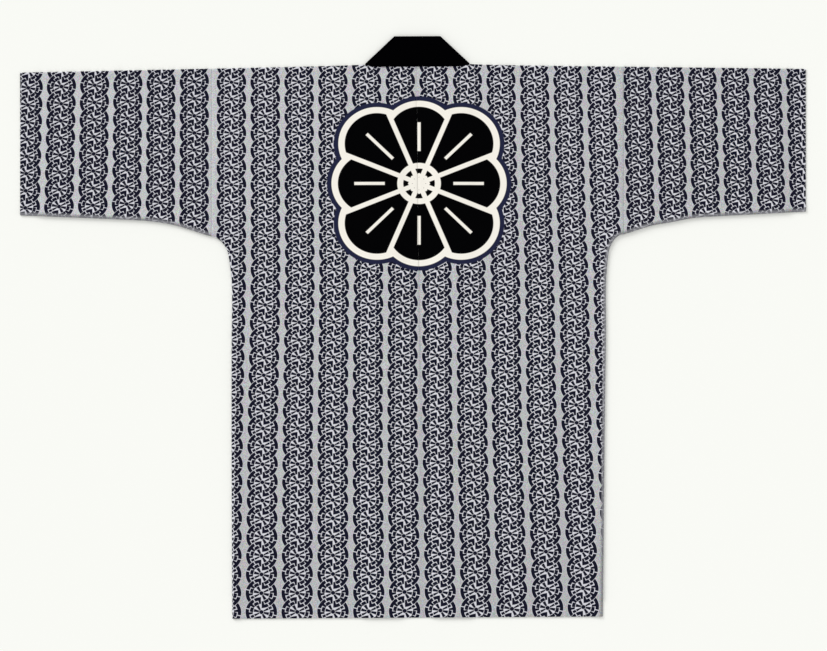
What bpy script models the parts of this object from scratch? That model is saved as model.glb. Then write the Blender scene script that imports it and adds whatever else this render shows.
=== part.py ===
"""A happi coat laid flat, back up: two body lengths, two sleeves and a folded collar strip.

Metres, +Z up. The coat lies on z = 0 with its hem towards -Y and its collar towards +Y.
Left and right are the wearer's, and the coat is seen from behind, so left is at -X.
"""

import math

import bmesh
import bpy
from mathutils import Vector

# Driving dimensions
YUKI = 0.625  # centre back to cuff
BACK_LENGTH = 0.8807  # shoulder fold beside the neck to hem
SLEEVE_SEAM = 0.3277  # centre back to the sleeve seam
ARMHOLE_DEPTH = 0.2720  # from the same height down to the armpit
SHOULDER_SLOPE = 0.0165  # the shoulder fold falls this much for each metre outwards
NECK_RISE, NECK_RISE_LENGTH = 0.0013, 0.032  # and a little more beside the neck
COLLAR_WIDTH = 0.0464
COLLAR_LEG_OUT = 0.0808  # centre to the outer edge of a collar leg
NECK_LAP = 0.0014  # the mitre's corner lies this far below the shoulder fold
NECK_CURVE, NECK_CURVE_LENGTH = 0.0025, 0.014  # and the neckline curves down this much more
SEAM_TOP, SEAM_HEM = -0.0013, 0.0075  # x of the centre-back seam, which lies a little askew

# Cloth
CLOTH = 0.001
COLLAR_THICK = 0.0022  # the strip is folded double
SEAM_GAP = 0.0003
LAYER_GAP = 0.0003
FOLD_SEGMENTS = 6
DIAGONAL = math.sqrt(0.5)
MATCH = 1e-6  # two points this close in plan stand over each other

# Heights of the middle of each layer
FRONT_HEIGHT = CLOTH / 2
BACK_HEIGHT = CLOTH + LAYER_GAP + CLOTH / 2
BACK_ON_COLLAR = COLLAR_THICK + LAYER_GAP + CLOTH / 2
NECK_DIP = 0.0020  # the back sinks this much between the collar legs
NECK_DIP_LENGTH = 0.09  # and reaches it this far below the neck

# A fold stands out this far from the edge of its layers
FOLD_OUT = (BACK_HEIGHT - FRONT_HEIGHT) / 2 + CLOTH / 2
COLLAR_BEND = (COLLAR_THICK + LAYER_GAP) / 2
# The shoulder fold starts here, just clear of the collar's mitre
SLIT_END = COLLAR_LEG_OUT + (COLLAR_BEND + COLLAR_THICK / 2) * DIAGONAL + SEAM_GAP

# The origin is the middle of the laid coat's box
COLLAR_CORNER = COLLAR_THICK / 2 * DIAGONAL  # the mitre's outer corners stand out this far
SHOULDER_Y = (BACK_LENGTH + NECK_LAP - COLLAR_WIDTH - COLLAR_CORNER) / 2
HEM_Y = SHOULDER_Y - BACK_LENGTH

# Columns of the body, from the centre back out to the sleeve seam
ARMHOLE_EDGE = SLEEVE_SEAM - SEAM_GAP / 2
NECK_CUTS = (0.0035, 0.007, 0.0105, NECK_CURVE_LENGTH)  # points of the neckline, from the mitre's corner
BODY_COLUMNS = (
    *(0, 0.010, 0.020, 0.028, 0.033, 0.050),
    *(COLLAR_LEG_OUT - cut for cut in reversed(NECK_CUTS)),
    *(SLIT_END, 0.095, 0.115, 0.14, 0.19, 0.24, 0.285, ARMHOLE_EDGE),
)
LAST_STRAIGHT_COLUMN = 0.24  # columns further out follow the side
SEAM_LEAN_ENDS = 0.028  # columns further out ignore the centre seam's lean

# Edge of the body's layers: depth below the shoulder fold beside the neck, half width
ARMPIT = ARMHOLE_DEPTH - FOLD_OUT
BODY_SIDE = (
    (ARMPIT, ARMHOLE_EDGE),
    (0.2715, 0.3220),
    (0.2749, 0.3165),
    (0.2805, 0.3100),
    (0.2865, 0.3055),
    (0.2945, 0.3015),
    (0.3095, 0.2990),
    (0.3565, 0.2950),
    (0.4515, 0.2944),
    (BACK_LENGTH, 0.2928),
)
ARMHOLE_ROWS = (0.020, 0.045, 0.09, 0.14, 0.19, 0.235)
SKIRT_ROWS = (0.33, 0.40, 0.50, 0.60, 0.70, 0.80, 0.86)

# Lower edge of a sleeve's layers: distance from the centre back, and the same depth
SLEEVE_LOWER_EDGE = (
    (SLEEVE_SEAM + SEAM_GAP / 2, ARMPIT),
    (0.3450, 0.2655),
    (0.3580, 0.2611),
    (0.3830, 0.2533),
    (0.4210, 0.2466),
    (0.4850, 0.2429),
    (0.5610, 0.2397),
    (YUKI, 0.2348),
)
SLEEVE_ROWS = 9  # points down a sleeve layer

# Pieces that the collar is cut into, for its mesh
LEG_CUTS = 8
TURN_CUTS = 8
MITRE_SHARES = [cut / (2 * COLLAR_LEG_OUT) for cut in NECK_CUTS]
NECK_SHARES = [*MITRE_SHARES, 0.25, 0.5, 0.75, *(1 - share for share in reversed(MITRE_SHARES))]
COLLAR_COLUMNS = 4

COLOURS = {"print": (0.20, 0.20, 0.23, 1), "collar": (0.004, 0.004, 0.005, 1)}


def interpolate(table, key):
    """The second column of table where its first column is key."""
    for (low, start), (high, end) in zip(table, table[1:]):
        if key <= high:
            return start + (end - start) * max(0, key - low) / (high - low)
    return table[-1][1]


def smooth(share):
    share = min(1, max(0, share))
    return share * share * (3 - 2 * share)


def cotton(name, colour):
    material = bpy.data.materials.new(name)
    material.use_nodes = True
    shader = material.node_tree.nodes["Principled BSDF"]
    shader.inputs["Base Color"].default_value = colour
    shader.inputs["Roughness"].default_value = 0.9
    shader.inputs["Metallic"].default_value = 0
    return material


def layer(mesh, columns, rows, place):
    """A grid of cloth with each point moved to place(column, row). Its points, by column and row number."""
    across, along = len(columns) - 1, len(rows) - 1
    made = bmesh.ops.create_grid(mesh, x_segments=across, y_segments=along, size=0.5)
    grid = {}
    for vert in made["verts"]:
        column, row = round((vert.co.x + 0.5) * across), round((vert.co.y + 0.5) * along)
        grid[column, row] = vert
    for (column, row), vert in grid.items():
        vert.co = place(columns[column], rows[row])
    return grid


def chain(mesh, verts):
    """The edges that join verts in turn."""
    return [mesh.edges.get(pair) for pair in zip(verts, verts[1:])]


def close_folds(mesh, folds):
    """Joins two layers along their edges by round folds, each (upper points, lower points, outward side)."""
    rungs, stands = [], []
    for upper, lower, away in folds:
        bmesh.ops.bridge_loops(mesh, edges=chain(mesh, upper) + chain(mesh, lower))
        for high, low in zip(upper, lower):
            rungs.append(mesh.edges.get((high, low)))
            stands.append((high.co.copy(), low.co.z, away))
    bmesh.ops.recalc_face_normals(mesh, faces=mesh.faces)
    cut = bmesh.ops.subdivide_edges(mesh, edges=rungs, cuts=FOLD_SEGMENTS - 1, use_grid_fill=True)
    bent = {part for part in cut["geom_inner"] if isinstance(part, bmesh.types.BMVert)}
    mesh.normal_update()
    outward = {vert: Vector((vert.normal.x, vert.normal.y, 0)).normalized() for vert in bent}
    for high, bottom, away in stands:
        radius = (high.z - bottom) / 2
        for vert in bent:
            if (vert.co.xy - high.xy).length > MATCH:
                continue
            turn = math.pi * (vert.co.z - bottom) / (2 * radius)
            out = outward[vert] if outward[vert].dot(away) > 0 else -outward[vert]
            vert.co += out * radius * math.sin(turn)
            vert.co.z = bottom + radius * (1 - math.cos(turn))


def piece(name, mesh, thickness, material, collection):
    """The object of one cut piece, with its wall built half to each side of the middle layer."""
    data = bpy.data.meshes.new(name)
    mesh.to_mesh(data)
    mesh.free()
    data.materials.append(material)
    made = bpy.data.objects.new(name, data)
    wall = made.modifiers.new("Wall", "SOLIDIFY")
    wall.thickness = thickness
    wall.offset = 0
    collection.objects.link(made)
    return made


def shoulder_drop(distance):
    """How much lower the shoulder fold lies here than beside the neck."""
    out = max(0, distance - SLIT_END)
    return SHOULDER_SLOPE * out + NECK_RISE * (1 - math.exp(-out / NECK_RISE_LENGTH))


def neckline(from_corner):
    """How much further the neckline has curved down at this distance from the mitre's corner."""
    return NECK_CURVE * smooth(from_corner / NECK_CURVE_LENGTH)


def back_height(distance, depth):
    """Middle of the back layer: over the collar legs it rises, and between them it sinks."""
    if distance > SLIT_END:
        return BACK_HEIGHT
    leg_inner = COLLAR_LEG_OUT - COLLAR_WIDTH
    dip = NECK_DIP * smooth(depth / NECK_DIP_LENGTH)
    return BACK_ON_COLLAR - dip * smooth((leg_inner - distance) / leg_inner)


def body_half(name, side, material, collection):
    """One length of cloth from the back hem over the shoulder to the front hem. side is -1 on the left."""
    neck = FOLD_OUT
    depths = sorted([neck, *ARMHOLE_ROWS, *(depth for depth, _ in BODY_SIDE), *SKIRT_ROWS])
    armpit = depths.index(ARMPIT)
    slit = BODY_COLUMNS.index(SLIT_END)

    def across(distance, depth):
        if distance <= LAST_STRAIGHT_COLUMN:
            return distance
        share = (distance - LAST_STRAIGHT_COLUMN) / (ARMHOLE_EDGE - LAST_STRAIGHT_COLUMN)
        return LAST_STRAIGHT_COLUMN + share * (interpolate(BODY_SIDE, depth) - LAST_STRAIGHT_COLUMN)

    def on_back(distance, depth):
        seam = SEAM_TOP + (SEAM_HEM - SEAM_TOP) * depth / BACK_LENGTH
        lean = seam * (1 - smooth(distance / SEAM_LEAN_ENDS))
        gap = SEAM_GAP / 2 if distance == 0 else 0
        x = side * (across(distance, depth) + gap) + lean
        if depth == neck and distance < SLIT_END:
            depth = NECK_LAP + neckline(COLLAR_LEG_OUT - distance) + SEAM_GAP  # it meets the collar
        elif depth == neck:
            depth += shoulder_drop(distance)
        return Vector((x, SHOULDER_Y - depth, back_height(distance, depth)))

    def on_front(distance, depth):
        x = across(distance, depth)
        if distance == SLIT_END:
            x -= (SLIT_END - COLLAR_LEG_OUT - SEAM_GAP) * smooth(depth / ARMHOLE_ROWS[0])
        if depth == neck:
            depth += shoulder_drop(distance)
        return Vector((side * x, SHOULDER_Y - depth, FRONT_HEIGHT))

    mesh = bmesh.new()
    back = layer(mesh, BODY_COLUMNS, depths, on_back)
    front = layer(mesh, BODY_COLUMNS[slit:], depths, on_front)
    last = len(BODY_COLUMNS) - 1
    shoulder = range(slit, last + 1)
    below_armpit = range(armpit, len(depths))
    over_shoulder = (
        [back[column, 0] for column in shoulder],
        [front[column - slit, 0] for column in shoulder],
        Vector((0, 1, 0)),
    )
    down_side = (
        [back[last, row] for row in below_armpit],
        [front[last - slit, row] for row in below_armpit],
        Vector((side, -1, 0)),
    )
    close_folds(mesh, [over_shoulder, down_side])
    return piece(name, mesh, CLOTH, material, collection)


def sleeve(name, side, material, collection):
    """A flat tube from the armhole to the cuff, open at both ends."""
    columns = [distance for distance, _ in SLEEVE_LOWER_EDGE]
    shares = [row / (SLEEVE_ROWS - 1) for row in range(SLEEVE_ROWS)]

    def at(height):
        def place(distance, share):
            top = FOLD_OUT + shoulder_drop(distance)
            depth = top + share * (interpolate(SLEEVE_LOWER_EDGE, distance) - top)
            return Vector((side * distance, SHOULDER_Y - depth, height))

        return place

    mesh = bmesh.new()
    back = layer(mesh, columns, shares, at(BACK_HEIGHT))
    front = layer(mesh, columns, shares, at(FRONT_HEIGHT))

    def edge(grid, row):
        return [grid[column, row] for column in range(len(columns))]

    over_arm = (edge(back, 0), edge(front, 0), Vector((0, 1, 0)))
    under_arm = (edge(back, SLEEVE_ROWS - 1), edge(front, SLEEVE_ROWS - 1), Vector((0, -1, 0)))
    close_folds(mesh, [over_arm, under_arm])
    return piece(name, mesh, CLOTH, material, collection)


def collar(name, material, collection):
    """A doubled strip: a leg under each front edge, turned at 45 degrees into the part behind the neck."""
    leg_shares = [cut / LEG_CUTS for cut in range(LEG_CUTS)]
    turns = [math.pi * cut / TURN_CUTS for cut in range(TURN_CUTS + 1)]
    stations = [("leg", -1, share) for share in leg_shares]
    stations += [("turn", -1, turn) for turn in turns]
    stations += [("neck", 0, share) for share in NECK_SHARES]
    stations += [("turn", 1, turn) for turn in reversed(turns)]
    stations += [("leg", 1, share) for share in reversed(leg_shares)]

    def corner(side, across):
        """A point of the mitre. across runs from 0 at the outer edge to COLLAR_WIDTH at the inner one."""
        return Vector((side * (COLLAR_LEG_OUT - across), SHOULDER_Y - NECK_LAP + across, COLLAR_THICK / 2))

    def place(across, station):
        kind, side, share = station
        if kind == "leg":
            end = corner(side, across)
            return Vector((end.x, HEM_Y + share * (end.y - HEM_Y), end.z))
        if kind == "neck":
            left, right = corner(-1, across), corner(1, across)
            point = left.lerp(right, share)
            curve = neckline(min(share, 1 - share) * 2 * COLLAR_LEG_OUT)
            point.y -= curve * (1 - across / COLLAR_WIDTH)
            point.z += 2 * COLLAR_BEND
            return point
        point = corner(side, across)
        out = COLLAR_BEND * math.sin(share) * DIAGONAL
        inner = across / COLLAR_WIDTH  # the inner end is drawn along, so that the top edge runs straight
        point += Vector((side * (out + out * inner), out - out * inner, 0))
        point.z += COLLAR_BEND * (1 - math.cos(share))
        return point

    columns = [COLLAR_WIDTH * column / COLLAR_COLUMNS for column in range(COLLAR_COLUMNS + 1)]
    mesh = bmesh.new()
    layer(mesh, columns, stations, place)
    return piece(name, mesh, COLLAR_THICK, material, collection)


def main():
    for old in list(bpy.data.objects):
        bpy.data.objects.remove(old, do_unlink=True)
    coat = bpy.data.collections.new("happi coat")
    bpy.context.scene.collection.children.link(coat)
    printed = cotton("print cotton", COLOURS["print"])
    black = cotton("collar cotton", COLOURS["collar"])
    for word, side in (("left", -1), ("right", 1)):
        body_half(f"body_{word}", side, printed, coat)
        sleeve(f"sleeve_{word}", side, printed, coat)
    collar("collar", black, coat)


main()
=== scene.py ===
# A happi coat laid flat with its back up: its cloth, print and light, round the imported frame.
# Metres, +Z up. The hem is towards -Y, the collar towards +Y, and the wearer's left at -X.

import math

import bmesh
import bpy
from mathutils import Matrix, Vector, kdtree, noise


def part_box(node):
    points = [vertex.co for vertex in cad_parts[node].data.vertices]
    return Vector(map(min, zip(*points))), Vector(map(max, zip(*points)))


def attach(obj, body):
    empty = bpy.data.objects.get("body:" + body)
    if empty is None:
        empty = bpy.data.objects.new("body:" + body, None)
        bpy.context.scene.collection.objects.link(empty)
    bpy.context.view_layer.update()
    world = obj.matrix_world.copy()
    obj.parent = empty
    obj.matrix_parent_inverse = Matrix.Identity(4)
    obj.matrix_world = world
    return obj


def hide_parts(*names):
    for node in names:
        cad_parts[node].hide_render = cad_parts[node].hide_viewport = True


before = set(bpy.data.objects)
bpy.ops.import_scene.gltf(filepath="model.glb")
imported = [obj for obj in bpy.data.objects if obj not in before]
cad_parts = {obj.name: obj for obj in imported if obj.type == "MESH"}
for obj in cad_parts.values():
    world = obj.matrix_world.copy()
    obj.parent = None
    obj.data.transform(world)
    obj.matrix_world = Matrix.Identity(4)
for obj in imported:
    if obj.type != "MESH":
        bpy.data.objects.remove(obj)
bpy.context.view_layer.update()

# Places that the cloth takes from the frame
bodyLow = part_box("body_left")[0]
sleeveLow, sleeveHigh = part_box("sleeve_left")
seamX = -(bodyLow.x + sleeveHigh.x) / 2
cuffX = -sleeveLow.x
backLength = 0.8807  # shoulder fold beside the neck to hem
shoulderY = bodyLow.y + backLength

cloth = {
    "wall": 0.0004,
    "seamGap": 0.0003,
    "frontHeight": 0.0003,  # middle of the layer that lies on the floor
    "backHeight": 0.0014,  # middle of the layer on top of it
    "foldReach": 0.0013,  # how far the shoulder fold stands out from its two layers
    "lowReach": 0.0042,  # the same for the fuller edges down the sides and under the sleeves
    "foldSteps": 6,
    "foldPuff": 0.0017,  # the shoulder fold springs open and lifts the back layer by this
    "lowPuff": 0.0034,  # the sides and the sleeve bottoms spring open more
    "puffReach": 0.011,
    "pressed": 0.65,  # share of this lost at the pressed hem and cuffs
    "plyGap": 0.00042,  # from one ply of a turned hem to the other
    "hemTurn": 0.020,
    "cuffTurn": 0.018,
    "turnLift": 0.0002,  # the back layer rises this much over the turned plies
    "turnRamp": 0.016,
    "swell": 0.0005,
    "swellSize": 0.12,
    "rippleShare": 0.3,
    "rippleSize": 0.045,
    "calmEdge": 0.02,  # swells and creases fade out over this length beside a fold
    "bendSteps": 6,
    "plySteps": 4,
    "weld": 0.00002,
    "sharpFrom": 50,  # degrees
    "seamCloser": (0, 0.0006, 0.0012, 0.002, 0.0032, 0.005, 0.008),  # closer steps beside a seam
    "endCell": 0.003,  # and beside a hem or cuff
}

body = {
    "slitEnd": 0.0838,  # the shoulder fold starts here, beside the collar's mitre
    "straightTo": 0.240,  # columns further out follow the side
    "armhole": 0.2720,
    "shoulderSlope": 0.0165,
    "neckRise": (0.0013, 0.032),  # the shoulder rises this much more beside the neck, over this length
    "dropEnds": 0.06,  # the mesh's rows follow the shoulder's slope down to here
    "neckLap": 0.0014,  # the collar's corner lies this far below the shoulder fold
    "neckCurve": (0.0025, 0.014),  # and the neckline curves down this much more, over this length
    "frontEdge": 0.0823,  # edge of the front, beside the collar's leg
    "legIn": 0.0344,
    "legOut": 0.0808,
    "legLift": 0.0014,  # the back lies this much higher over the collar's legs
    "legRamp": 0.014,
    "neckDip": 0.0019,
    "neckDipLength": 0.09,
    "neckDipSteep": 1.6,  # how soon it is fully sunk, from the legs inwards
    "seamTop": -0.0013,  # x of the centre-back seam at the neck and at the hem
    "seamHem": 0.0075,
    "seamLeanEnds": 0.028,
    "cell": 0.0062,
    "rowCell": 0.0064,
    "foldCloser": (0, 0.0006, 0.0014, 0.0026, 0.0045, 0.007, 0.010),  # closer rows below the shoulder fold
    "aboveArmpit": 0.0055,
    "armpitRows": 0.045,  # closer rows down to here below the armpit
    "hemRows": 0.036,  # and from this far above the hem
    "edgeRamp": 0.02,  # the front reaches its full cut-away over this depth
    "sideTurn": 0.006,  # the side's outward direction turns from the sleeve's over this length
    "bakeSize": (0.6, 0.93),  # width and height of the OFBake map, and where the layers lie on it
    "bakeBack": 0.012,
    "bakeFront": 0.665,
    "bakeDown": 0.912,
}

# Visible outline below the armpit: half width, depth below the shoulder
sidePoints = (
    (0.3277, 0.2720),
    (0.3224, 0.2726),
    (0.3172, 0.2758),
    (0.3108, 0.2813),
    (0.3065, 0.2871),
    (0.3026, 0.2948),
    (0.3001, 0.3096),
    (0.2962, 0.3565),
    (0.2955, 0.4515),
    (0.2940, backLength),
)

# Visible lower edge of a sleeve, in the same measures
sleevePoints = (
    (seamX, 0.2720),
    (0.3450, 0.2668),
    (0.3580, 0.2623),
    (0.3830, 0.2545),
    (0.4210, 0.2478),
    (0.4850, 0.2437),
    (0.5610, 0.2402),
    (0.6000, 0.2383),
    (cuffX, 0.2372),
)

# The coat lies a little askew. Seam and cuff, as distances from the centre back, and the tilt of it all.
# A ramp is where something starts and over what length it grows.
askew = {
    -1: (0.3274, 0.6315),
    1: (0.3280, 0.6177),
    "tilt": 0.0048,
    "hemUp": (0.0009, 0.0010),  # the hem lies this much higher, and so much more for a metre to the right
    "hemRamp": (0.6, 0.28),
    "sag": (0.0030, 0.402, 0.030),  # the right sleeve's edge hangs this much lower, here, over this length
    "sagRamp": (0.15, 0.09),
    "spreadRamp": (0.22, 0.07),
    "spreadBelow": 0.02,
}

# How much further out each side lies than in the even coat: depth, by how much
sideSpreads = {
    -1: (
        (0.290, 0.0000),
        (0.331, -0.0014),
        (0.405, -0.0004),
        (0.514, 0.0003),
        (0.600, 0.0006),
        (backLength, 0.0003),
    ),
    1: (
        (0.285, 0.0026),
        (0.331, 0.0028),
        (0.405, 0.0042),
        (0.514, 0.0033),
        (0.660, 0.0022),
        (backLength, 0.0006),
    ),
}

# Ink is lost along some lower edges, and painted shade darkens them there: from this far in, fully at this
# distance, and how much at most
inkLossAndShade = {
    "reach": 0.0062,
    "full": 0.0016,
    "most": 0.55,
    "paintedShade": 0.75,  # painted shade: the cloth darkens by this share of it
}

seams = {
    "dip": 0.00045,
    "dipReach": 0.0017,
    "allowance": 0.011,
    "allowanceLift": 0.00032,
    "allowanceSoft": 0.003,
}

# Soft creases of the back layer, each from one place to another: their half width and height
creases = (
    ((0.300, 0.300), (0.205, 0.420), 0.013, 0.00045),
    ((0.330, 0.262), (0.430, 0.150), 0.014, 0.00040),
    ((0.285, 0.350), (0.230, 0.560), 0.016, 0.00035),
    ((0.120, 0.020), (0.170, 0.170), 0.015, 0.00035),
    ((0.180, 0.600), (0.140, 0.800), 0.018, 0.00040),
    ((0.470, 0.060), (0.560, 0.120), 0.015, 0.00035),
)
creaseEnd = 0.08  # a crease starts and ends at this share of its swelling


def smooth(share):
    share = min(1, max(0, share))
    return share * share * (3 - 2 * share)


def ramped(value, ramp):
    start, length = ramp
    return smooth((value - start) / length)


def bell(away, reach):
    return math.exp(-((away / reach) ** 2))


def curveThrough(points):
    # A smooth curve through (key, value) points, as a function of the key
    keys = [key for key, value in points]
    values = [value for key, value in points]
    last = len(points) - 1
    chords = [(values[i + 1] - values[i]) / (keys[i + 1] - keys[i]) for i in range(last)]
    slopes = [chords[0]] + [(a + b) / 2 for a, b in zip(chords, chords[1:])] + [chords[-1]]

    def at(key):
        i = 0
        while i < last - 1 and key > keys[i + 1]:
            i += 1
        span = keys[i + 1] - keys[i]
        t = min(1, max(0, (key - keys[i]) / span))
        start = values[i] * (1 + 2 * t) * (1 - t) ** 2 + slopes[i] * span * t * (1 - t) ** 2
        end = values[i + 1] * t * t * (3 - 2 * t) + slopes[i + 1] * span * t * t * (t - 1)
        return start + end

    return at


def steps(start, end, size, fine=()):
    # Even steps from start to end, with closer ones at these distances from the start
    fine = [start + offset for offset in fine]
    first = fine[-1] if fine else start
    count = max(1, round((end - first) / size))
    even = [first + (end - first) * i / count for i in range(count)]
    return fine[:-1] + even + [end]


# The side's outline as a curve along its length
sideKeys = [0]
for (x0, d0), (x1, d1) in zip(sidePoints, sidePoints[1:]):
    sideKeys.append(sideKeys[-1] + math.hypot(x1 - x0, d1 - d0))
sideLength = sideKeys[-1]
sideX = curveThrough([(key, x) for key, (x, depth) in zip(sideKeys, sidePoints)])
sideDepth = curveThrough([(key, depth) for key, (x, depth) in zip(sideKeys, sidePoints)])
underArm = curveThrough(sleevePoints)
sideSpread = {side: curveThrough(points) for side, points in sideSpreads.items()}


def shoulderDrop(x):
    # Depth of the fold along the shoulder and the sleeve
    out = max(0, x - body["slitEnd"])
    rise, length = body["neckRise"]
    return body["shoulderSlope"] * out + rise * (1 - math.exp(-out / length))


def neckline(fromCorner):
    # How much further the neckline has curved down at this distance from the collar's corner
    curve, length = body["neckCurve"]
    return curve * smooth(fromCorner / length)


def laid(x, depth):
    # Where a point of the even coat lies
    side = -1 if x < 0 else 1
    seam, cuff = askew[side]
    away = abs(x)
    if away <= seamX:
        moved = away * seam / seamX
    else:
        moved = seam + (away - seamX) * (cuff - seam) / (cuffX - seamX)
        if side > 0:
            sag, middle, length = askew["sag"]
            depth += sag * bell(moved - middle, length) * ramped(depth, askew["sagRamp"])
    below = ramped(depth, (body["armhole"], askew["spreadBelow"]))
    even, slope = askew["hemUp"]
    depth -= (even + slope * side * moved) * ramped(depth, askew["hemRamp"])
    moved += sideSpread[side](depth) * ramped(away, askew["spreadRamp"]) * below
    return side * moved, depth - askew["tilt"] * side * moved


def sideNormal(along):
    # Outward direction of the side's outline, in x and depth. At the armhole it meets the sleeve's.
    near = 0.001
    start, end = max(0, along - near), min(sideLength, along + near)
    dx = sideX(end) - sideX(start)
    dd = sideDepth(end) - sideDepth(start)
    turn = smooth(along / body["sideTurn"])
    return Vector((dd * turn, -dx * turn + (1 - turn) * near)).normalized()


def nearestOf(points):
    # The distance from a place on one half of the coat to the nearest of these
    tree = kdtree.KDTree(len(points))
    for i, (x, depth) in enumerate(points):
        tree.insert((x, depth, 0), i)
    tree.balance()
    return lambda x, depth: tree.find((x, depth, 0))[2]


spacing = 0.0012
alongTop = [body["slitEnd"] + i * spacing for i in range(round((cuffX - body["slitEnd"]) / spacing) + 1)]
fromTopFold = nearestOf([(x, shoulderDrop(x)) for x in alongTop])
underSleeve = [(x, underArm(min(x, cuffX))) for x in alongTop if x >= seamX]
downSide = [(sideX(i * spacing), sideDepth(i * spacing)) for i in range(round(sideLength / spacing) + 1)]
fromLowFold = nearestOf(underSleeve + downSide)


def nearSegment(point, start, end):
    # Distance from a segment, and how far along it the nearest point is
    start, along = Vector(start), Vector(end) - Vector(start)
    share = min(1, max(0, (point - start).dot(along) / along.length_squared))
    return (point - start - along * share).length, share


def seamLean(depth):
    # x of the centre-back seam at this depth
    return body["seamTop"] + (body["seamHem"] - body["seamTop"]) * depth / backLength


def backHeight(x, depth, side):
    # Middle of the back layer. x is the distance from the centre back, and side is -1 on the left.
    fromTop = max(0, fromTopFold(x, depth) - cloth["foldReach"] - cloth["wall"] / 2)
    fromLow = max(0, fromLowFold(x, depth) - cloth["lowReach"] - cloth["wall"] / 2)
    z = cloth["backHeight"]
    # Over the collar's legs it rises, and between them it sinks
    z += body["legLift"] * (1 - ramped(x, (body["legOut"], body["legRamp"])))
    inwards = (body["legIn"] - x) / body["legIn"] * body["neckDipSteep"]
    z -= body["neckDip"] * smooth(depth / body["neckDipLength"]) * smooth(inwards)
    # Folds spring open, and the turned hem and cuff are thicker
    puff = cloth["foldPuff"] * bell(fromTop, cloth["puffReach"])
    puff += cloth["lowPuff"] * bell(fromLow, cloth["puffReach"])
    toHem = (cloth["hemTurn"] + cloth["turnRamp"] - backLength + depth) / cloth["turnRamp"]
    toCuff = (cloth["cuffTurn"] + cloth["turnRamp"] - cuffX + x) / cloth["turnRamp"]
    lift = max(smooth(toHem), smooth(toCuff))
    z += math.hypot(puff * (1 - cloth["pressed"] * lift), cloth["turnLift"] * lift)
    # Both cloths turn down into a seam, with the allowances pressed to its inner or left side
    fromArmhole = x - seamX
    fromCentre = x * side - seamLean(depth) * (1 - smooth(x / body["seamLeanEnds"]))
    for across in (fromArmhole, fromCentre):
        z -= seams["dip"] * bell(across, seams["dipReach"])
        ridge = smooth(-across / seams["allowanceSoft"])
        ridge -= ramped(-across, (seams["allowance"], seams["allowanceSoft"]))
        z += seams["allowanceLift"] * max(0, ridge) * (1 - lift)
    # Soft swells and creases, fading where the plies are stacked
    free = (1 - lift) * smooth(min(fromTop, fromLow) / cloth["calmEdge"])
    place = Vector((x * side, depth, 0))
    wave = 1 + noise.noise(place / cloth["swellSize"])
    wave += cloth["rippleShare"] * (1 + noise.noise(place / cloth["rippleSize"]))
    z += cloth["swell"] * wave * free
    here = Vector((x, depth))
    for start, end, halfWidth, height in creases:
        distance, share = nearSegment(here, start, end)
        fade = math.sin(math.pi * (creaseEnd + (1 - 2 * creaseEnd) * share))
        z += height * fade * bell(distance, halfWidth) * free
    return z


# The print, charted from this much below the shoulder fold
chartTop = 0.0022

# Columns: depth, x of the first gap between wheels, distance between columns
bodyColumns = (
    (0.0223, -0.2688, 0.05343),
    (0.2400, -0.2686, 0.05404),
    (0.3244, -0.2685, 0.05438),
    (0.5629, -0.2731, 0.05538),
    (0.7060, -0.2749, 0.05613),
    (0.8490, -0.2765, 0.05688),
)
firstGap = curveThrough([(depth, gap) for depth, gap, pitch in bodyColumns])
columnPitch = curveThrough([(depth, pitch) for depth, gap, pitch in bodyColumns])

# How far the rows have slipped down: depth, at the left side, at the right side
rowSlips = (
    (0.048, -0.0004, 0.0038),
    (0.176, 0.0012, 0.0034),
    (0.240, 0.0022, 0.0031),
    (0.303, 0.0006, 0.0027),
    (0.374, 0.0028, 0.0018),
    (0.533, 0.0034, 0.0009),
    (0.692, 0.0020, 0.0002),
    (0.843, 0.0012, 0.0000),
)
leftSlip = curveThrough([(depth, left) for depth, left, right in rowSlips])
rightSlip = curveThrough([(depth, right) for depth, left, right in rowSlips])

rows = {
    "pitch": 0.02703,
    "stretchFrom": 0.2926,  # below this depth the rows grow further apart
    "stretch": 0.0055,
    "columnStep": 0.00076,  # each column's rows lie this much higher than the last one's
    "hubDepth": 0.3231,
}

printWidth = 0.58  # the rows' slip goes from its left value to its right one across this
outerGaps = (-1, 11)  # the armhole seams lie in these gaps, counted from the left

# The middle columns lie further right and further down than even ones would
printBow = {
    "halfWidth": 0.29,
    "across": (0.0013, 0.0004),  # in the middle, at the shoulder and from the depth below
    "down": (0.0008, 0.0022),
    "ends": (0.0003, -0.0008),  # the same at the sides
    "to": 0.25,
}

# Sleeves: hubs at two depths as (depth, x of the first, pitch), then a row's depth, at x, slope and pitch
sleevePrint = {
    -1: {
        "hubs": ((0.0223, -0.6182, 0.05274), (0.2131, -0.6229, 0.05363)),
        "row": (0.0333, -0.5665, -0.038, 0.02724),
    },
    1: {
        "hubs": ((0.0223, 0.3496, 0.05178), (0.2131, 0.3545, 0.05203)),
        "row": (0.0193, 0.3509, 0.0262, 0.02681),
    },
}


def rowCount(depth):
    if depth < rows["stretchFrom"]:
        return depth / rows["pitch"]
    beyond = 1 + rows["stretch"] * (depth - rows["stretchFrom"]) / rows["pitch"]
    return rows["stretchFrom"] / rows["pitch"] + math.log(beyond) / rows["stretch"]


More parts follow.
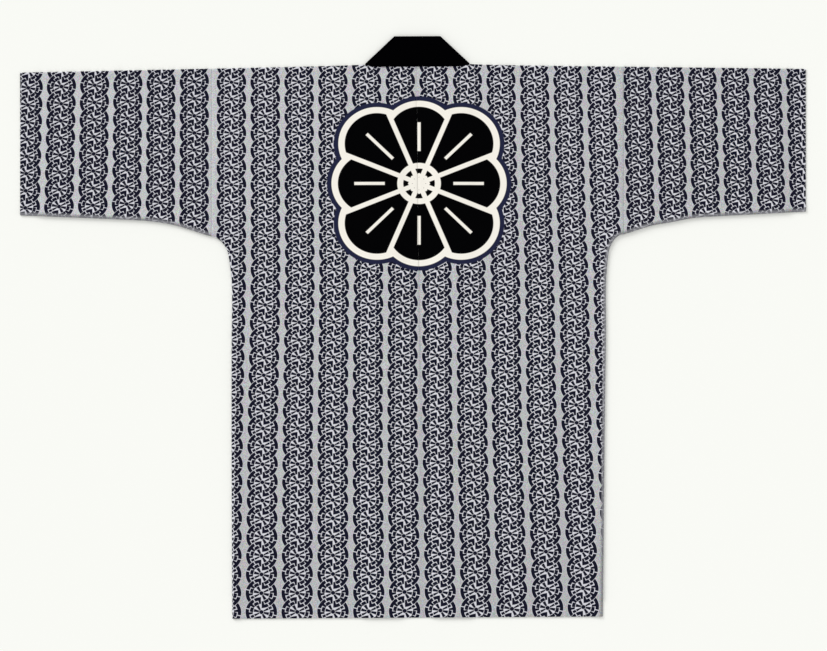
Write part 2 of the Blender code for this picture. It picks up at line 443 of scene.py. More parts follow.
def bodyPrint(x, depth):
    # Wheels across and wheels up, at a point of the laid cloth
    toRight = min(1, max(0, 0.5 + x / printWidth))
    slip = leftSlip(depth) * (1 - toRight) + rightSlip(depth) * toRight
    middle = 1 - min(1, abs(x / printBow["halfWidth"])) ** 2
    low = smooth(depth / printBow["to"])
    (topBow, lowBow), (topEnd, lowEnd) = printBow["down"], printBow["ends"]
    slip += topEnd + (lowEnd - topEnd) * low + (topBow + (lowBow - topBow) * low) * middle
    depth -= chartTop
    topRight, lowRight = printBow["across"]
    x -= (topRight + (lowRight - topRight) * low) * middle
    across = (x - firstGap(depth)) / columnPitch(depth)
    across = min(outerGaps[1], max(outerGaps[0], across))
    down = rowCount(depth - slip + rows["columnStep"] * (across - 0.5)) - rowCount(rows["hubDepth"])
    return Vector((across, -down))


def sleevePrintAt(x, depth):
    chart = sleevePrint[-1 if x < 0 else 1]
    depth -= chartTop
    (topDepth, topX, topPitch), (lowDepth, lowX, lowPitch) = chart["hubs"]
    share = (depth - topDepth) / (lowDepth - topDepth)
    first = topX + (lowX - topX) * share
    pitch = topPitch + (lowPitch - topPitch) * share
    rowDepth, rowX, slope, rowPitch = chart["row"]
    return Vector(((x - first) / pitch + 0.5, -(depth - rowDepth - slope * (x - rowX)) / rowPitch))


offFlower = (9, 9)  # a place on the flower's map that it doesn't reach


def onFloor(point):
    # A point of the even coat, moved to where it lies
    x, depth = laid(point.x, shoulderY - point.y)
    return Vector((x, shoulderY - depth, point.z))


def inkLossAndShadeAt(point):
    # How much of the ink has gone, and how much painted shade lies, along the sleeve bottoms and the right
    # side
    depth = shoulderY - point.y
    if point.x < 0 and abs(point.x) < seamX:
        return 0
    away = fromLowFold(abs(point.x), depth)
    return inkLossAndShade["most"] * smooth((inkLossAndShade["reach"] - away) / (inkLossAndShade["reach"] - inkLossAndShade["full"]))


def sheetOf(mesh, columns, rowList, place, shown, printAt, bakeAt, front):
    # One layer as a grid. place gives a point and where it lies on the flat cloth.
    across, along = len(columns) - 1, len(rowList) - 1
    layers = mesh.loops.layers.uv
    names = ("print", "flower", "inkLossAndShade", "OFBake")
    printMap, flowerMap, inkLossAndShadeMap, bakeMap = [layers.get(name) or layers.new(name) for name in names]
    made = bmesh.ops.create_grid(mesh, x_segments=across, y_segments=along, size=0.5)
    spots = {}
    unused = []
    for vert in made["verts"]:
        column = columns[round((vert.co.x + 0.5) * across)]
        row = rowList[round((vert.co.y + 0.5) * along)]
        if shown(column, row):
            spots[vert] = place(column, row)
        else:
            unused.append(vert)
    for vert, (point, flat) in spots.items():
        vert.co = onFloor(point)
    bmesh.ops.delete(mesh, geom=unused, context="VERTS")
    faces = {face for vert in spots for face in vert.link_faces}
    for face in faces:
        for loop in face.loops:
            point, flat = spots[loop.vert]
            x, depth = laid(*flat)
            spot = printAt(x, depth)
            if front:
                fold = laid(flat[0], shoulderDrop(abs(flat[0])))
                spot.y = 2 * printAt(*fold).y - spot.y  # the cloth runs on over the fold
            loop[printMap].uv = spot
            loop[flowerMap].uv = offFlower if front else (x, depth)
            loop[inkLossAndShadeMap].uv = (inkLossAndShadeAt(point), 0)
            loop[bakeMap].uv = bakeAt(abs(flat[0]), flat[1], front)


def finishCloth(name, mesh, wall, material, nodes):
    # Welds the layers, turns the faces outwards and gives the cloth its thickness
    bmesh.ops.remove_doubles(mesh, verts=mesh.verts, dist=cloth["weld"])
    bmesh.ops.recalc_face_normals(mesh, faces=mesh.faces)
    highest = max(mesh.faces, key=lambda face: face.calc_center_median().z)
    if highest.normal.z < 0:
        bmesh.ops.reverse_faces(mesh, faces=mesh.faces)
    area = sum(face.calc_area() for face in mesh.faces)
    data = bpy.data.meshes.new(name)
    mesh.to_mesh(data)
    mesh.free()
    thin = bpy.data.objects.new(name + "Middle", data)
    bpy.context.scene.collection.objects.link(thin)
    solid = thin.modifiers.new("wall", "SOLIDIFY")
    solid.thickness = wall
    solid.offset = 0
    graph = bpy.context.evaluated_depsgraph_get()
    solidMesh = bpy.data.meshes.new_from_object(thin.evaluated_get(graph))
    solidMesh.name = name
    bpy.data.objects.remove(thin)
    solidMesh.shade_smooth()
    solidMesh.set_sharp_from_angle(angle=math.radians(cloth["sharpFrom"]))
    solidMesh.materials.append(material)
    piece = bpy.data.objects.new(name, solidMesh)
    bpy.context.scene.collection.objects.link(piece)
    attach(piece, "root")
    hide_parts(*nodes)
    return piece, area


def foldAngles():
    count = cloth["foldSteps"]
    return [math.pi / 2 * i / count for i in range(1, count + 1)]


def turnedRows(turn):
    # A hem's bend and the ply turned up inside it: reach past the ply's end, way back up, offset inwards
    bend, bendSteps, plySteps = cloth["plyGap"] / 2, cloth["bendSteps"], cloth["plySteps"]
    turned = []
    for i in range(1, bendSteps + 1):
        angle = math.pi * i / bendSteps
        turned.append((bend * math.sin(angle), 0, bend * (1 - math.cos(angle))))
    for i in range(1, plySteps + 1):
        turned.append((0, turn * i / plySteps, cloth["plyGap"]))
    return turned


def clothHeights(x, depth, side):
    # Half way between the two layers, and half their distance
    high, low = backHeight(x, depth, side), cloth["frontHeight"]
    return (high + low) / 2, (high - low) / 2


def bodyHalf(name, side, material, node):
    # One length of cloth from the back hem over the shoulder to the front hem
    fold, top = cloth["lowReach"], cloth["foldReach"]
    sideIn = fold + cloth["wall"] / 2  # from the visible edge in to the layer's own edge
    topIn = top + cloth["wall"] / 2
    hemEnd = sideLength - cloth["plyGap"] / 2 - cloth["wall"] / 2
    close = cloth["seamCloser"]
    inner = steps(0, body["slitEnd"], body["cell"], close)
    inner += steps(body["slitEnd"], body["straightTo"], body["cell"])[1:]
    plain = [("plain", distance) for distance in inner]
    outerSpan = seamX - body["straightTo"]
    outer = [outerSpan - gap for gap in reversed(steps(0, outerSpan, body["cell"], close))][1:]
    plain += [("outer", distance / outerSpan) for distance in outer]
    folded = [("fold", angle) for angle in foldAngles()]
    upperEnd = body["armhole"] - body["aboveArmpit"]
    hemStart = hemEnd - body["hemRows"]
    lower = steps(0, body["armpitRows"], cloth["endCell"])
    lower += steps(body["armpitRows"], hemStart, body["rowCell"])[1:]
    lower += steps(hemStart, hemEnd, cloth["endCell"])[1:]
    rowList = [("shoulder", angle) for angle in reversed(foldAngles())]
    rowList += [("upper", depth) for depth in steps(topIn, upperEnd, body["rowCell"], body["foldCloser"])]
    rowList += [("lower", along, (0, 0, 0)) for along in lower]
    rowList += [("lower", hemEnd, turned) for turned in turnedRows(cloth["hemTurn"])]

    def build(mesh, front):
        sign = -1 if front else 1

        def place(column, row):
            kind, value = row[0], row[1]
            reach, backUp, offset = row[2] if kind == "lower" else (0, 0, 0)
            if kind == "lower":
                along = value - backUp
                out = sideNormal(along)
                edge = Vector((sideX(along), sideDepth(along))) - out * sideIn
                share = along / sideLength
                depth = body["armhole"] + (backLength - body["armhole"]) * share
                if along == 0:
                    edge.x = seamX - cloth["seamGap"] / 2
            else:
                depth = value if kind == "upper" else topIn
                out = Vector((1, 0))
                edge = Vector((seamX - cloth["seamGap"] / 2, depth))
            if column[0] == "plain":
                spot = Vector((column[1], depth))
            elif column[0] == "outer":
                spot = Vector((body["straightTo"], depth)).lerp(edge, column[1])
            else:
                spot = edge.copy()
            neck = kind == "upper" and value == topIn and spot.x < body["slitEnd"]
            if neck:
                spot.y = cloth["seamGap"]  # the neck edge runs up under the collar's lower edge
            elif kind != "lower":
                spot.y += shoulderDrop(spot.x) * (1 - smooth(depth / body["dropEnds"]))
            if front and column == firstFront:
                toEdge = smooth(spot.y / body["edgeRamp"])
                spot.x = body["slitEnd"] + (body["frontEdge"] - body["slitEnd"]) * toEdge
            middle, half = clothHeights(spot.x, spot.y, side)
            z = middle + sign * (half - offset)
            x, down = spot.x, spot.y + reach
            flat = Vector((x, down))
            if column[0] == "fold":
                bow = (fold - offset) * math.sin(column[1])
                x += out.x * bow
                down += out.y * bow
                z = middle + sign * (half - offset) * math.cos(column[1])
                flat += out * fold * column[1]
            if kind == "shoulder":
                down -= top * math.sin(value)
                z = middle + sign * half * math.cos(value)
                flat.y = down
            if kind == "lower" and offset > 0:
                flat.y = backLength + max(0, backUp) + offset
            lean = 0 if front else seamLean(down) * (1 - smooth(spot.x / body["seamLeanEnds"]))
            gap = cloth["seamGap"] / 2 if spot.x == 0 else 0
            point = Vector((side * (x + gap) + lean, shoulderY - down, z))
            return point, (side * flat.x + lean, flat.y)

        firstFront = ("plain", body["slitEnd"])
        start = plain.index(firstFront) if front else 0
        columns = plain[start:] + folded

        def shown(column, row):
            if column[0] == "fold":
                return row[0] == "lower"
            if row[0] == "shoulder":
                return column[0] != "plain" or column[1] >= body["slitEnd"]
            return True

        sheetOf(mesh, columns, rowList, place, shown, bodyPrint, bakeBody, front)

    def bakeBody(x, depth, front):
        across = body["bakeFront"] - x if front else x + body["bakeBack"]
        width, height = body["bakeSize"]
        return across / width, (body["bakeDown"] - depth) / height

    mesh = bmesh.new()
    build(mesh, False)
    build(mesh, True)
    piece, area = finishCloth(name, mesh, cloth["wall"], material, [node])
    cut = (askew[side][0], 2 * (backLength + cloth["hemTurn"]))
    min(area, cut[0] * cut[1])
    print(name, "area", round(area, 4), "faces", len(piece.data.polygons))


sleeve = {
    "cell": 0.0065,
    "cuffColumns": 0.034,  # closer columns from this far before the cuff
    "closer": (0, 0.0025, 0.005, 0.0085, 0.013),  # closer rows beside the folds
    "width": 0.24,  # for the closer rows as shares of it
    "rowStep": 0.028,  # a share too
    "bakeSize": (0.33, 0.575),
    "bakeIn": 0.322,
    "bakeDown": (0.570, 0.285),  # back and front
}


def sleeveTube(name, side, material, node):
    # A flat tube from the armhole to the cuff, with the cuff turned in
    reaches = {"top": cloth["foldReach"], "bottom": cloth["lowReach"]}
    start = seamX + cloth["seamGap"] / 2
    cuffEnd = cuffX - cloth["plyGap"] / 2 - cloth["wall"] / 2
    cuffStart = cuffEnd - sleeve["cuffColumns"]
    columns = [(x, (0, 0, 0)) for x in steps(start, cuffStart, sleeve["cell"], cloth["seamCloser"])]
    columns += [(x, (0, 0, 0)) for x in steps(cuffStart, cuffEnd, cloth["endCell"])[1:]]
    columns += [(cuffEnd, turned) for turned in turnedRows(cloth["cuffTurn"])]
    half = steps(0, 0.5, sleeve["rowStep"], [gap / sleeve["width"] for gap in sleeve["closer"]])
    shares = half + [1 - share for share in reversed(half)][1:]
    rowList = [("top", angle) for angle in reversed(foldAngles())]
    rowList += [("layer", share) for share in shares]
    rowList += [("bottom", angle) for angle in foldAngles()]

    def build(mesh, front):
        sign = -1 if front else 1

        def place(column, row):
            x, (reach, backUp, offset) = column
            kind, value = row
            x -= backUp
            top = shoulderDrop(x) + reaches["top"] + cloth["wall"] / 2
            low = underArm(x) - reaches["bottom"] - cloth["wall"] / 2
            share = {"top": 0, "bottom": 1}.get(kind, value)
            down = top + (low - top) * share
            middle, half = clothHeights(x, down, side)
            z = middle + sign * (half - offset)
            if kind != "layer":
                bow = (reaches[kind] - offset) * math.sin(value)
                down += bow if kind == "bottom" else -bow
                z = middle + sign * (half - offset) * math.cos(value)
            flatX = cuffX + backUp + offset if offset > 0 else x
            point = Vector((side * (x + reach), shoulderY - down, z))
            return point, (side * flatX, down)

        sheetOf(mesh, columns, rowList, place, lambda column, row: True, sleevePrintAt, bakeSleeve, front)

    def bakeSleeve(x, depth, front):
        width, height = sleeve["bakeSize"]
        return (x - sleeve["bakeIn"]) / width, (sleeve["bakeDown"][front] - depth) / height

    mesh = bmesh.new()
    build(mesh, False)
    build(mesh, True)
    piece, area = finishCloth(name, mesh, cloth["wall"], material, [node])
    seam, cuff = askew[side]
    cut = (cuff - seam + cloth["cuffTurn"], 2 * body["armhole"])
    min(area, cut[0] * cut[1])
    print(name, "area", round(area, 4), "faces", len(piece.data.polygons))


collar = {
    "width": 0.0458,
    "cornerOut": 0.0010,  # the mitre's lower corner lies this far outside the leg's edge
    "slant": 1.03,  # and its fold leans a little more than 45 degrees
    "wall": 0.0008,
    "ply": 0.0007,  # from the strip's middle to the middle of each ply
    "legHeight": 0.0011,
    "neckHeight": 0.0042,
    "step": 0.008,
    "curveShares": (0.01, 0.0216, 0.0433, 0.065, 0.0866),  # closer steps where the neckline curves
    "neckSpan": 0.16,
    "endCloser": (0, 0.0006, 0.0016),  # and at the lower ends
    "endSteps": 0.004,
    "endUp": 0.0002,
    "endPinch": (0.58, 0.0032),  # the plies close to this share of their distance over this length
    "acrossSteps": 8,
    "edgeSteps": 6,
    "turnSteps": 10,
}


def collarStrip(name, material, node):
    # A strip folded double: up one front edge, turned over behind the neck, and down the other
    width, ply = collar["width"], collar["ply"]
    bend = (collar["neckHeight"] - collar["legHeight"]) / 2
    edge = ply + collar["wall"] / 2
    flatSteps, edgeSteps, turnSteps = collar["acrossSteps"], collar["edgeSteps"], collar["turnSteps"]
    flat = [edge + (width - 2 * edge) * i / flatSteps for i in range(flatSteps + 1)]
    bows = [math.pi * i / edgeSteps for i in range(1, edgeSteps + 1)]
    loop = [(across, -1, 0) for across in flat]
    loop += [(width - edge, -math.cos(angle), math.sin(angle)) for angle in bows[:-1]]
    loop += [(across, 1, 0) for across in reversed(flat)]
    loop += [(edge, math.cos(angle), -math.sin(angle)) for angle in bows]
    legLength = backLength + width / 2
    legShares = [length / legLength for length in collar["endCloser"]]
    legShares += steps(collar["endSteps"] / legLength, 1, collar["step"] / legLength)[:-1]
    turns = [math.pi * i / turnSteps for i in range(turnSteps + 1)]
    curveShares = collar["curveShares"]
    neckStep = collar["step"] / collar["neckSpan"]
    neckShares = [*curveShares, *steps(curveShares[-1], 1 - curveShares[-1], neckStep)[1:-1]]
    neckShares += [1 - share for share in reversed(curveShares)]
    stations = [("leg", -1, share) for share in legShares]
    stations += [("turn", -1, angle) for angle in turns]
    stations += [("neck", 0, share) for share in neckShares]
    stations += [("turn", 1, angle) for angle in reversed(turns)]
    stations += [("leg", 1, share) for share in reversed(legShares)]

    def corner(side, across):
        # Where a line of the strip meets the slanting fold
        out = body["legOut"] + collar["cornerOut"] - across * collar["slant"]
        return Vector((side * out, shoulderY - body["neckLap"] + across, 0))

    def place(column, station):
        across, level, bow = column
        kind, side, share = station
        across += bow * ply
        offset = level * ply
        if kind == "leg":
            end = corner(side, across)
            y = bodyLow.y + collar["endUp"] + share * (end.y - bodyLow.y)
            least, length = collar["endPinch"]
            offset *= least + (1 - least) * smooth((y - bodyLow.y) / length)
            return Vector((end.x, y, collar["legHeight"] + offset))
        if kind == "neck":
            point = corner(-1, across).lerp(corner(1, across), share)
            point.y -= neckline(min(share, 1 - share) * 2 * body["legOut"]) * (1 - across / width)
            point.z = collar["neckHeight"] - offset
            return point
        point = corner(side, across)
        inner = across / width
        out = (bend - offset) * math.sin(share) * math.sqrt(0.5)
        point += Vector((side * out, out - out * inner, 0))
        point.z = collar["legHeight"] + bend - (bend - offset) * math.cos(share)
        return point

    mesh = bmesh.new()
    across, along = len(loop) - 1, len(stations) - 1
    made = bmesh.ops.create_grid(mesh, x_segments=across, y_segments=along, size=0.5)
    for vert in made["verts"]:
        column, row = round((vert.co.x + 0.5) * across), round((vert.co.y + 0.5) * along)
        vert.co = onFloor(place(loop[column], stations[row]))
    piece, area = finishCloth(name, mesh, collar["wall"], material, [node])


class Wire:
    # One socket of a material, so that shader maths reads as Python
    def __init__(self, tree, socket=None):
        self.tree = tree
        self.socket = socket

    def make(self, kind, settings=None, values=None, output=0):
        node = self.tree.nodes.new(kind)
        for name, value in (settings or {}).items():
            setattr(node, name, value)
        for name, value in (values or {}).items():
            if isinstance(value, Wire):
                self.tree.links.new(value.socket, node.inputs[name])
            else:
                node.inputs[name].default_value = value
        return Wire(self.tree, node.outputs[output])

    def other(self, output):
        return Wire(self.tree, self.socket.node.outputs[output])

    def math(self, operation, *values, clamp=False):
        return self.make(
            "ShaderNodeMath",
            {"operation": operation, "use_clamp": clamp},
            dict(enumerate(values)),
        )

    def __add__(self, value):
        return self.math("ADD", self, value)

    __radd__ = __add__

    def __sub__(self, value):
        return self.math("SUBTRACT", self, value)

    def __rsub__(self, value):
        return self.math("SUBTRACT", value, self)

    def __mul__(self, value):
        return self.math("MULTIPLY", self, value)

    __rmul__ = __mul__

    def __truediv__(self, value):
        return self.math("DIVIDE", self, value)

    def least(self, value):
        return self.math("MINIMUM", self, value)

    def most(self, value):
        return self.math("MAXIMUM", self, value)

    def size(self):
        return self.math("ABSOLUTE", self)

    def root(self):
        return self.math("SQRT", self.most(0))

    def whole(self):
        return self.math("FLOOR", self)

    def rest(self):
        return self.math("FRACT", self)

    def sine(self):
        return self.math("SINE", self)

    def inside(self, soft):
        # 1 where a signed distance is below zero, with an edge this soft
        return self.math("SUBTRACT", 0.5, self / soft, clamp=True)


def mixed(factor, first, second):
    return factor.make("ShaderNodeMix", {"data_type": "RGBA"}, {0: factor, 6: first, 7: second}, 2)


def vectorMath(operation, values):
    start = next(value for value in values.values() if isinstance(value, Wire))
    return start.make("ShaderNodeVectorMath", {"operation": operation}, values)


def scaled(colour, factor):
    return vectorMath("SCALE", {0: colour, "Scale": factor})


def noiseOf(coords, scale, detail, output=0):
    values = {"Vector": coords, "Scale": scale, "Detail": detail}
    return coords.make("ShaderNodeTexNoise", None, values, output)


def partsOf(place):
    x = place.make("ShaderNodeSeparateXYZ", None, {0: place}, "X")
    return x, x.other("Y")


def mapOf(coords, name):
    return coords.make("ShaderNodeUVMap", {"uv_map": name})


def colourOf(red, green, blue):
    # An sRGB colour from 0 to 255, as the linear one that a shader takes
    values = []
    for part in (red, green, blue):
        share = part / 255
        values.append(share / 12.92 if share <= 0.04045 else ((share + 0.055) / 1.055) ** 2.4)
    return (*values, 1)


# The wheels, in millimetres where the columns are one pitch apart
wheel = {
    "pitch": 54.0,
    "rowPitch": 27.8,
    "tall": 0.925,  # a wheel is a little flatter than wide
    "hub": 3.2,
    "spokeAngle": -14.6,
    "bend": 0.19,  # arms above the first stem lie this much closer together
    "spoke": (3.8, 11.6),
    "spokeHalf": (1.35, 2.4),  # half width at the hub end and at the outer end
    "spokeLess": 0.25,  # the upper spoke is this much thinner on each side
    "spokesEnd": 0.7,  # no spokes this far above the first stem, in radians
    "lessRate": 8,  # how soon the parts are smaller above the stem
    "endSteep": 30,
    "rimSteep": 90,
    "block": (12.5, 17.4),
    "blockHalf": 3.55,
    "blockLess": 1.15,
    "rim": (18.6, 23.75),
    "rimGapHalf": 0.72,
    "stemAngle": 7.5,
    "stem": (13.0, 19.1),
    "stemHalf": (1.5, 2.15),
    "halo": 24.4,
    "centreHalf": 0.48,
    "soft": 0.35,
    "wobble": 0.5,
}

# The flower on the back, in millimetres from its centre
flower = {
    "scale": 1.05,
    "centreX": 2.8,
    "centreDepth": 189.5,
    "tall": 0.945,
    "straightPetal": (76.0, 47.0),  # distance of its round end from the centre, and its radius
    "slantPetal": (90.0, 49.0),
    "heart": 60.0,
    "slotHalf": 3.6,
    "veinHalf": 2.4,
    "straightVein": (52.0, 98.0),
    "slantVein": (56.0, 112.0),
    "ring": (24.0, 33.0),
    "dots": (13.5, 3.0),  # distance from the centre, radius
    "white": 9.6,
    "outline": 16.6,
    "soft": 0.8,
}

inks = {
    "navy": colourOf(22, 23, 38),
    "ground": colourOf(210, 210, 217),
    "gap": colourOf(184, 185, 187),
    "white": colourOf(243, 239, 229),
    "outline": colourOf(34, 37, 62),
    "black": colourOf(2, 2, 3),
}


def sector(angle, degrees):
    # How far an angle is from the nearest of eight arms, in radians. The first arm is at these degrees.
    eighth = math.pi / 4
    return (((angle - math.radians(degrees)) / eighth + 0.5).rest() - 0.5) * eighth


def between(radius, limits):
    # Signed distance from a ring between two radii
    return (limits[0] - radius).most(radius - limits[1])


def tapered(radius, limits, halves):
    # Half width of an arm that widens from one radius to the other
    return (radius - limits[0]) * ((halves[1] - halves[0]) / (limits[1] - limits[0])) + halves[0]


def wheelInk(across, up):
    # Where the wheels print dark, and where a wheel covers the ground
    x = (across.rest() - 0.5) * wheel["pitch"]
    right = x.math("SIGN", x)
    side = x.size()
    turned = up * right  # the left half of each column is the right half, upside down
    reach = wheel["halo"]
    half = (reach * reach - side * side).root() * (wheel["tall"] / wheel["rowPitch"])
    row = (turned + half).whole()
    rise = (turned - row) * (wheel["rowPitch"] / wheel["tall"])
    radius = (side * side + rise * rise).root()
    angle = side.math("ARCTAN2", rise, side)
    # Above the first stem the arms close up, the parts are smaller and the rim has no gap
    above = (angle - math.radians(wheel["stemAngle"])).most(0)
    bent = angle + above * wheel["bend"]
    less = (above * wheel["lessRate"]).least(1)
    arm = (sector(bent, wheel["spokeAngle"]) * radius).size()
    spoke = arm - tapered(radius, wheel["spoke"], wheel["spokeHalf"]) + less * wheel["spokeLess"]
    spoke = spoke + (above - wheel["spokesEnd"]).most(0) * wheel["endSteep"]
    dark = spoke.most(between(radius, wheel["spoke"]))
    block = arm + less * wheel["blockLess"] - wheel["blockHalf"]
    dark = dark.least(block.most(between(radius, wheel["block"])))
    rim = wheel["rimGapHalf"] - arm - above * wheel["rimSteep"]
    dark = dark.least(rim.most(between(radius, wheel["rim"])))
    stem = (sector(bent, wheel["stemAngle"]) * radius).size()
    stem = stem - tapered(radius, wheel["stem"], wheel["stemHalf"])
    dark = dark.least(stem.most(between(radius, wheel["stem"])))
    dark = dark.most(wheel["centreHalf"] - side).least(radius - wheel["hub"])
    return dark, radius - wheel["halo"]


def flowerInk(x, y):
    # Signed distances of the flower's outer shape and of its black parts
    wide = x.size()
    tall = y.size()
    high = wide.most(tall)
    low = wide.least(tall)
    radius = (x * x + y * y).root()

    def petal(centreHigh, centreLow, size):
        dx, dy = high - centreHigh, low - centreLow
        return (dx * dx + dy * dy).root() - size

    straight = petal(flower["straightPetal"][0], 0, flower["straightPetal"][1])
    slant = flower["slantPetal"][0] * math.sqrt(0.5)
    slanted = petal(slant, slant, flower["slantPetal"][1])
    whole = straight.least(slanted).least(radius - flower["heart"])
    halfPetal = math.radians(22.5)
    border = low * math.cos(halfPetal) - high * math.sin(halfPetal)  # below zero in a straight petal
    straightBlack = straight.least(radius - flower["straightPetal"][0]).most(border + flower["slotHalf"])
    slantBlack = slanted.least(radius - flower["slantPetal"][0]).most(flower["slotHalf"] - border)
    straightVein = (low - flower["veinHalf"]).most(between(high, flower["straightVein"]))
    across = (high - low) * math.sqrt(0.5)
    slantVein = (across - flower["veinHalf"]).most(between(radius, flower["slantVein"]))
    black = straightBlack.least(slantBlack)
    black = black.most(0 - straightVein).most(0 - slantVein)
    black = black.most(0 - between(radius, flower["ring"]))
    away, size = flower["dots"]
    dx, dy = radius - away, sector(x.math("ARCTAN2", y, x), 0) * radius
    dots = (dx * dx + dy * dy).root() - size
    return whole, black.most(0 - dots)


threads = {
    "weave": 0.00075,
    "slubs": (900, 2),  # scale and detail of the noise
    "weaveShare": 0.5,
    "roughness": (0.9, 0.1),  # in the middle, and how much it varies
}

printed = {
    "bump": (0.35, 0.00012),
    "specular": 0.02,
    "bleed": 0.06,  # in millimetres
    "sleeveBleed": 0.15,
    "wobble": (330, 1),  # noises, as scale and detail
    "speckle": (850, 0),
    "speckleDepth": 0.55,
    "grain": 1.5,
    "shade": 0.13,  # painted shade: the gaps' tone falls off this much towards the lower right, away from the light at the upper left
    "clouds": (9, 2),
    "slubTone": 0.16,
    "cloudTone": 0.05,
}

collarCotton = {
    "bump": (0.4, 0.00015),
    "specular": 0,
    "tone": (0.6, 0.8),
}


def newCotton(name):
    material = bpy.data.materials.new(name)
    material.use_nodes = True
    coords = Wire(material.node_tree).make("ShaderNodeTexCoord", None, None, "Object")
    return material, coords, noiseOf(coords, *threads["slubs"])


def finishCotton(material, coords, slubs, colour, look):
    # A plain weave under the colour, with slubs along both threads
    x, y = partsOf(coords)
    rate = math.pi / threads["weave"]
    height = (x * rate).sine() * (y * rate).sine() * threads["weaveShare"] + slubs
    strength, distance = look["bump"]
    bump = {"Strength": strength, "Distance": distance, "Height": height}
    roughness, varies = threads["roughness"]
    wires = {
        "Base Color": colour,
        "Roughness": (slubs - 0.5) * varies + roughness,
        "Normal": coords.make("ShaderNodeBump", None, bump),
    }
    shader = material.node_tree.nodes["Principled BSDF"]
    shader.inputs["Specular IOR Level"].default_value = look["specular"]
    for name, wire in wires.items():
        material.node_tree.links.new(wire.socket, shader.inputs[name])
    return material


def printCotton(name, withFlower, bleed):
    material, coords, slubs = newCotton(name)
    # The print wavers a little, as ink does on cotton
    wobble = vectorMath("SUBTRACT", {0: noiseOf(coords, *printed["wobble"], "Color"), 1: (0.5, 0.5, 0.5)})
    shift = scaled(wobble, wheel["wobble"] / wheel["pitch"])
    dark, covered = wheelInk(*partsOf(vectorMath("ADD", {0: mapOf(coords, "print"), 1: shift})))
    dark = dark - bleed
    # The gaps are speckled and grainy, and painted shade makes their tone fall off slowly towards the
    # lower right, away from the light
    depth = printed["speckleDepth"]
    speckle = noiseOf(coords, *printed["speckle"], "Color")
    speckle = vectorMath("MULTIPLY_ADD", {0: speckle, 1: (2 * depth,) * 3, 2: (1 - depth,) * 3})
    gap = vectorMath("MULTIPLY", {0: speckle, 1: inks["gap"][:3]})
    grain = (slubs - 0.5) * printed["grain"] + 1
    right, high = partsOf(coords)
    gap = scaled(gap, ((high - right) * printed["shade"] + 1) * grain)
    ground = mixed(covered.inside(wheel["soft"] * 2), gap, inks["ground"])
    # Along the sleeve bottoms and the right side the ink is taken away, and painted shade darkens the
    # cloth further below
    wornAndShaded = partsOf(mapOf(coords, "inkLossAndShade"))[0]
    ink = dark.most(covered).inside(wheel["soft"]) * (1 - wornAndShaded)
    colour = mixed(ink, ground, inks["navy"])
    if withFlower:
        x, y = partsOf(mapOf(coords, "flower"))
        size = flower["scale"]
        x = (x * 1000 - flower["centreX"]) * (1 / size)
        y = (y * 1000 - flower["centreDepth"]) * (1 / flower["tall"] / size)
        whole, black = flowerInk(x, y)
        soft = flower["soft"]
        colour = mixed((whole - flower["outline"]).inside(soft), colour, inks["outline"])
        colour = mixed((whole - flower["white"]).inside(soft), colour, inks["white"])
        colour = mixed(black.inside(soft), colour, inks["black"])
    # Threads take the ink unevenly
    cloudy = noiseOf(coords, *printed["clouds"])
    tone = (slubs - 0.5) * printed["slubTone"] + (cloudy - 0.5) * printed["cloudTone"] + 1
    # Painted shade darkens the lower fold edges here
    colour = scaled(colour, tone * (1 - wornAndShaded * inkLossAndShade["paintedShade"]))
    return finishCotton(material, coords, slubs, colour, printed)


def blackCotton(name):
    material, coords, slubs = newCotton(name)
    least, varies = collarCotton["tone"]
    colour = scaled(inks["black"][:3], slubs * varies + least)
    return finishCotton(material, coords, slubs, colour, collarCotton)


studio = {
    "floorColour": (0.932, 0.940, 0.898, 1),
    "floorHalf": 6.0,
    "floorDrop": 0.0001,
    "sky": 0.79,
    "sun": 1.70,
    "sunAngle": 25,
    "sunAway": (-0.56, 0.70, 0.42),  # from the upper left
    "lens": 100,
    "sensor": 36,
    "width": 1.315,  # what the picture shows across, at the coat
    "centre": (-0.00604, shoulderY - 0.4153),
}


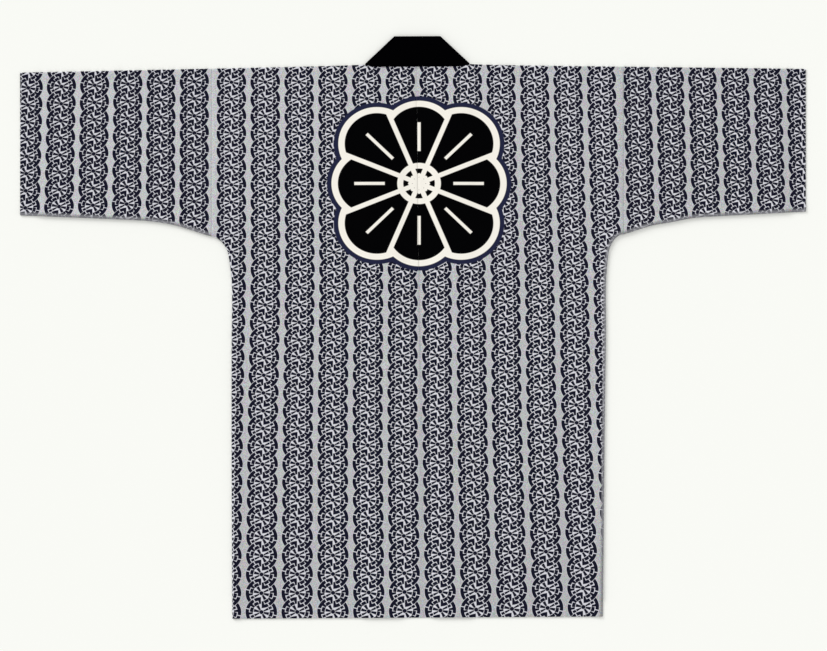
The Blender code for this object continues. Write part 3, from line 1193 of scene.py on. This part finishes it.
def plainFloor():
    material = bpy.data.materials.new("floor")
    material.use_nodes = True
    shader = material.node_tree.nodes["Principled BSDF"]
    shader.inputs["Base Color"].default_value = studio["floorColour"]
    shader.inputs["Roughness"].default_value = 1
    shader.inputs["Specular IOR Level"].default_value = 0
    mesh = bmesh.new()
    bmesh.ops.create_grid(mesh, x_segments=1, y_segments=1, size=studio["floorHalf"])
    data = bpy.data.meshes.new("floor")
    mesh.to_mesh(data)
    mesh.free()
    data.materials.append(material)
    floor = bpy.data.objects.new("floor", data)
    floor.location.z = -studio["floorDrop"]
    bpy.context.scene.collection.objects.link(floor)


def studioLight():
    scene = bpy.context.scene
    scene.view_settings.view_transform = "Standard"
    world = bpy.data.worlds.new("studio")
    scene.world = world
    world.use_nodes = True
    sky = world.node_tree.nodes["Background"]
    sky.inputs["Color"].default_value = (1, 1, 1, 1)
    sky.inputs["Strength"].default_value = studio["sky"]
    light = bpy.data.lights.new("softSun", "SUN")
    light.energy = studio["sun"]
    light.angle = math.radians(studio["sunAngle"])
    sun = bpy.data.objects.new("softSun", light)
    sun.rotation_mode = "QUATERNION"
    sun.rotation_quaternion = Vector(studio["sunAway"]).to_track_quat("Z", "Y")
    scene.collection.objects.link(sun)


def cameraAbove():
    data = bpy.data.cameras.new("camera")
    data.lens = studio["lens"]
    data.sensor_width = studio["sensor"]
    camera = bpy.data.objects.new("camera", data)
    distance = studio["width"] * studio["lens"] / studio["sensor"]
    camera.location = (*studio["centre"], distance + cloth["backHeight"])
    bpy.context.scene.collection.objects.link(camera)
    bpy.context.scene.camera = camera


print("stage and light")
plainFloor()
studioLight()
cameraAbove()
print("materials")
bodyCotton = printCotton("printed cotton with the flower", True, printed["bleed"])
sleeveCotton = printCotton("printed cotton", False, printed["sleeveBleed"])
black = blackCotton("black cotton")
print("cloth")
bodyHalf("bodyLeftCloth", -1, bodyCotton, "body_left")
bodyHalf("bodyRightCloth", 1, bodyCotton, "body_right")
sleeveTube("sleeveLeftCloth", -1, sleeveCotton, "sleeve_left")
sleeveTube("sleeveRightCloth", 1, sleeveCotton, "sleeve_right")
collarStrip("collarBand", black, "collar")
